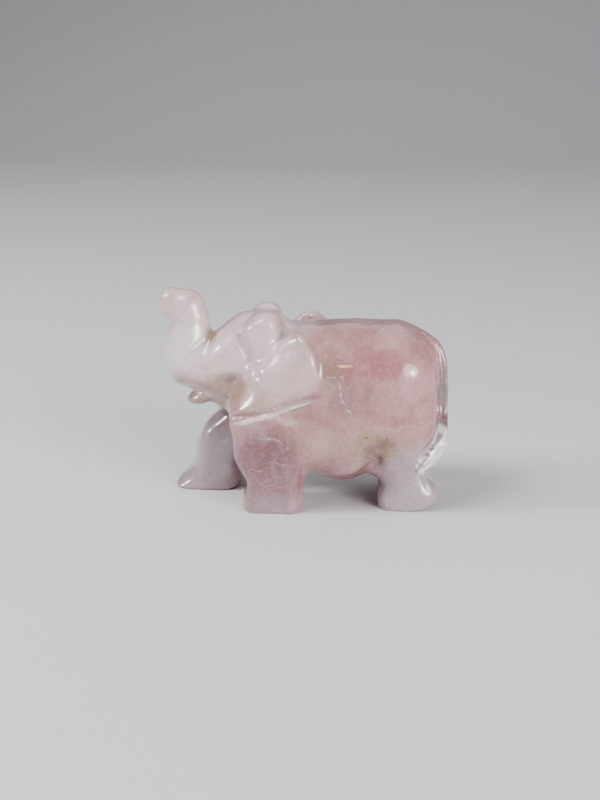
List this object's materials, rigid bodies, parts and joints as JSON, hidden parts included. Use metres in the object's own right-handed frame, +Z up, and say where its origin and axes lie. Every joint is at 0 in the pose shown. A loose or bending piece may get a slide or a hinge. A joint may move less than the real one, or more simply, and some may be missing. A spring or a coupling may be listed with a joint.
{
  "type": "carved stone elephant figurine",
  "caption": "Small standing elephant with raised trunk and a foreleg stepping forward, carved from polished rose quartz.",
  "frame": {"origin": "on the surface that the feet stand on, below the middle of the carving's bounding box", "axes": "+Z up, -X towards the head, -Y towards the elephant's left side"},
  "size_m": [0.0782, 0.0352, 0.0587],
  "materials": {
    "rose_quartz": "polished, translucent pale pink quartz with milky clouds, fine fracture lines and a few iron stains"
  },
  "bodies": {
    "root": {"elephant_carving": "rose_quartz"}
  },
  "joints": []
}
